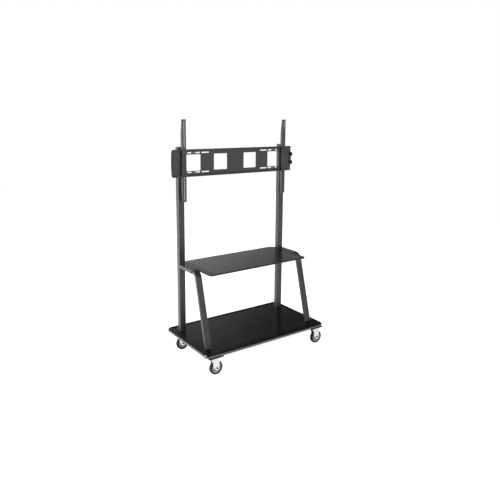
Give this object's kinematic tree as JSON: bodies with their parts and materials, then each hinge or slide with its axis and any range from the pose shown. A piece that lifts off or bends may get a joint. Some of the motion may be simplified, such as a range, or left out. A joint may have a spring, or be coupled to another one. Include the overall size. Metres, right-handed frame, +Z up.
{
  "type": "rolling display stand",
  "caption": "Rolling display stand: wheeled base, columns, shelf on bent legs, slotted wall rail and sliding hook-on arms.",
  "frame": {"origin": "on the floor, under the middle of the base", "axes": "+Z up, +X to the right seen from the front, the screen side faces -Y"},
  "size_m": [1.186, 0.664, 1.892],
  "materials": {
    "powder_coat": "satin black powder coat",
    "deck_coat": "satin black powder coat, smoother",
    "edge_plastic": "satin black moulded edge",
    "black_plastic": "matt black moulding",
    "tyre_rubber": "matt black rubber",
    "hub_plastic": "light grey moulding",
    "zinc_plate": "bright zinc",
    "dark_bolt": "blackened steel"
  },
  "bodies": {
    "stand": {"base_rim": "edge_plastic", "deck_panel": "deck_coat", "base_frame": "powder_coat", "foot_bolt_column_left": "zinc_plate", "foot_bolt_column_right": "zinc_plate", "foot_bolt_leg_left": "zinc_plate", "foot_bolt_leg_right": "zinc_plate", "column_left": "powder_coat", "column_right": "powder_coat", "column_cap_left": "black_plastic", "column_cap_right": "black_plastic", "leg_left": "powder_coat", "leg_right": "powder_coat", "leg_socket_left": "powder_coat", "leg_socket_right": "powder_coat", "socket_bolt_left": "dark_bolt", "socket_bolt_right": "dark_bolt", "shelf": "powder_coat", "shelf_rail_front": "powder_coat", "shelf_rail_rear": "powder_coat", "rail": "powder_coat", "rail_pad_left": "powder_coat", "rail_pad_right": "powder_coat", "rail_bolt_left_low_1": "dark_bolt", "rail_bolt_left_low_2": "dark_bolt", "rail_bolt_left_high_1": "dark_bolt", "rail_bolt_left_high_2": "dark_bolt", "rail_bolt_right_low_1": "dark_bolt", "rail_bolt_right_low_2": "dark_bolt", "rail_bolt_right_high_1": "dark_bolt", "rail_bolt_right_high_2": "dark_bolt", "rail_end_stop_left": "black_plastic", "rail_end_stop_right": "black_plastic", "caster_front_left_plate": "black_plastic", "caster_front_right_plate": "black_plastic", "caster_rear_left_plate": "black_plastic", "caster_rear_right_plate": "black_plastic"},
    "arm_left": {"arm_left": "powder_coat", "arm_lock_screw_left": "dark_bolt"},
    "arm_right": {"arm_right": "powder_coat", "arm_lock_screw_right": "dark_bolt"},
    "caster_front_left_swivel": {"caster_front_left_fork": "zinc_plate", "caster_front_left_axle_bolt": "dark_bolt"},
    "caster_front_left_wheel": {"caster_front_left_hub": "hub_plastic", "caster_front_left_tyre": "tyre_rubber"},
    "caster_front_left_pedal": {"caster_front_left_brake_pedal": "black_plastic"},
    "caster_front_right_swivel": {"caster_front_right_fork": "zinc_plate", "caster_front_right_axle_bolt": "dark_bolt"},
    "caster_front_right_wheel": {"caster_front_right_hub": "hub_plastic", "caster_front_right_tyre": "tyre_rubber"},
    "caster_front_right_pedal": {"caster_front_right_brake_pedal": "black_plastic"},
    "caster_rear_left_swivel": {"caster_rear_left_fork": "zinc_plate", "caster_rear_left_axle_bolt": "dark_bolt"},
    "caster_rear_left_wheel": {"caster_rear_left_hub": "hub_plastic", "caster_rear_left_tyre": "tyre_rubber"},
    "caster_rear_right_swivel": {"caster_rear_right_fork": "zinc_plate", "caster_rear_right_axle_bolt": "dark_bolt"},
    "caster_rear_right_wheel": {"caster_rear_right_hub": "hub_plastic", "caster_rear_right_tyre": "tyre_rubber"}
  },
  "joints": [
    {"name": "arm_left_slide", "type": "slide", "parent": "stand", "child": "arm_left", "axis": [-1, 0, 0], "range_m": [-0.3945, 0.0725]},
    {"name": "arm_right_slide", "type": "slide", "parent": "stand", "child": "arm_right", "axis": [1, 0, 0], "range_m": [-0.3945, 0.0725]},
    {"name": "caster_front_left_swivel_turn", "type": "hinge", "parent": "stand", "child": "caster_front_left_swivel", "pos_m": [-0.504, -0.292, 0.13], "axis": [0, 0, 1], "continuous": true},
    {"name": "caster_front_left_wheel_spin", "type": "hinge", "parent": "caster_front_left_swivel", "child": "caster_front_left_wheel", "pos_m": [-0.482, -0.292, 0.054], "axis": [0, 1, 0], "continuous": true},
    {"name": "caster_front_left_pedal_press", "type": "hinge", "parent": "caster_front_left_swivel", "child": "caster_front_left_pedal", "pos_m": [-0.522, -0.292, 0.1254], "axis": [0, 1, 0], "range_deg": [0, 10]},
    {"name": "caster_front_right_swivel_turn", "type": "hinge", "parent": "stand", "child": "caster_front_right_swivel", "pos_m": [0.504, -0.292, 0.13], "axis": [0, 0, 1], "continuous": true},
    {"name": "caster_front_right_wheel_spin", "type": "hinge", "parent": "caster_front_right_swivel", "child": "caster_front_right_wheel", "pos_m": [0.526, -0.292, 0.054], "axis": [0, 1, 0], "continuous": true},
    {"name": "caster_front_right_pedal_press", "type": "hinge", "parent": "caster_front_right_swivel", "child": "caster_front_right_pedal", "pos_m": [0.486, -0.292, 0.1254], "axis": [0, 1, 0], "range_deg": [0, 10]},
    {"name": "caster_rear_left_swivel_turn", "type": "hinge", "parent": "stand", "child": "caster_rear_left_swivel", "pos_m": [-0.504, 0.238, 0.13], "axis": [0, 0, 1], "continuous": true},
    {"name": "caster_rear_left_wheel_spin", "type": "hinge", "parent": "caster_rear_left_swivel", "child": "caster_rear_left_wheel", "pos_m": [-0.482, 0.238, 0.054], "axis": [0, 1, 0], "continuous": true},
    {"name": "caster_rear_right_swivel_turn", "type": "hinge", "parent": "stand", "child": "caster_rear_right_swivel", "pos_m": [0.504, 0.238, 0.13], "axis": [0, 0, 1], "continuous": true},
    {"name": "caster_rear_right_wheel_spin", "type": "hinge", "parent": "caster_rear_right_swivel", "child": "caster_rear_right_wheel", "pos_m": [0.526, 0.238, 0.054], "axis": [0, 1, 0], "continuous": true}
  ]
}
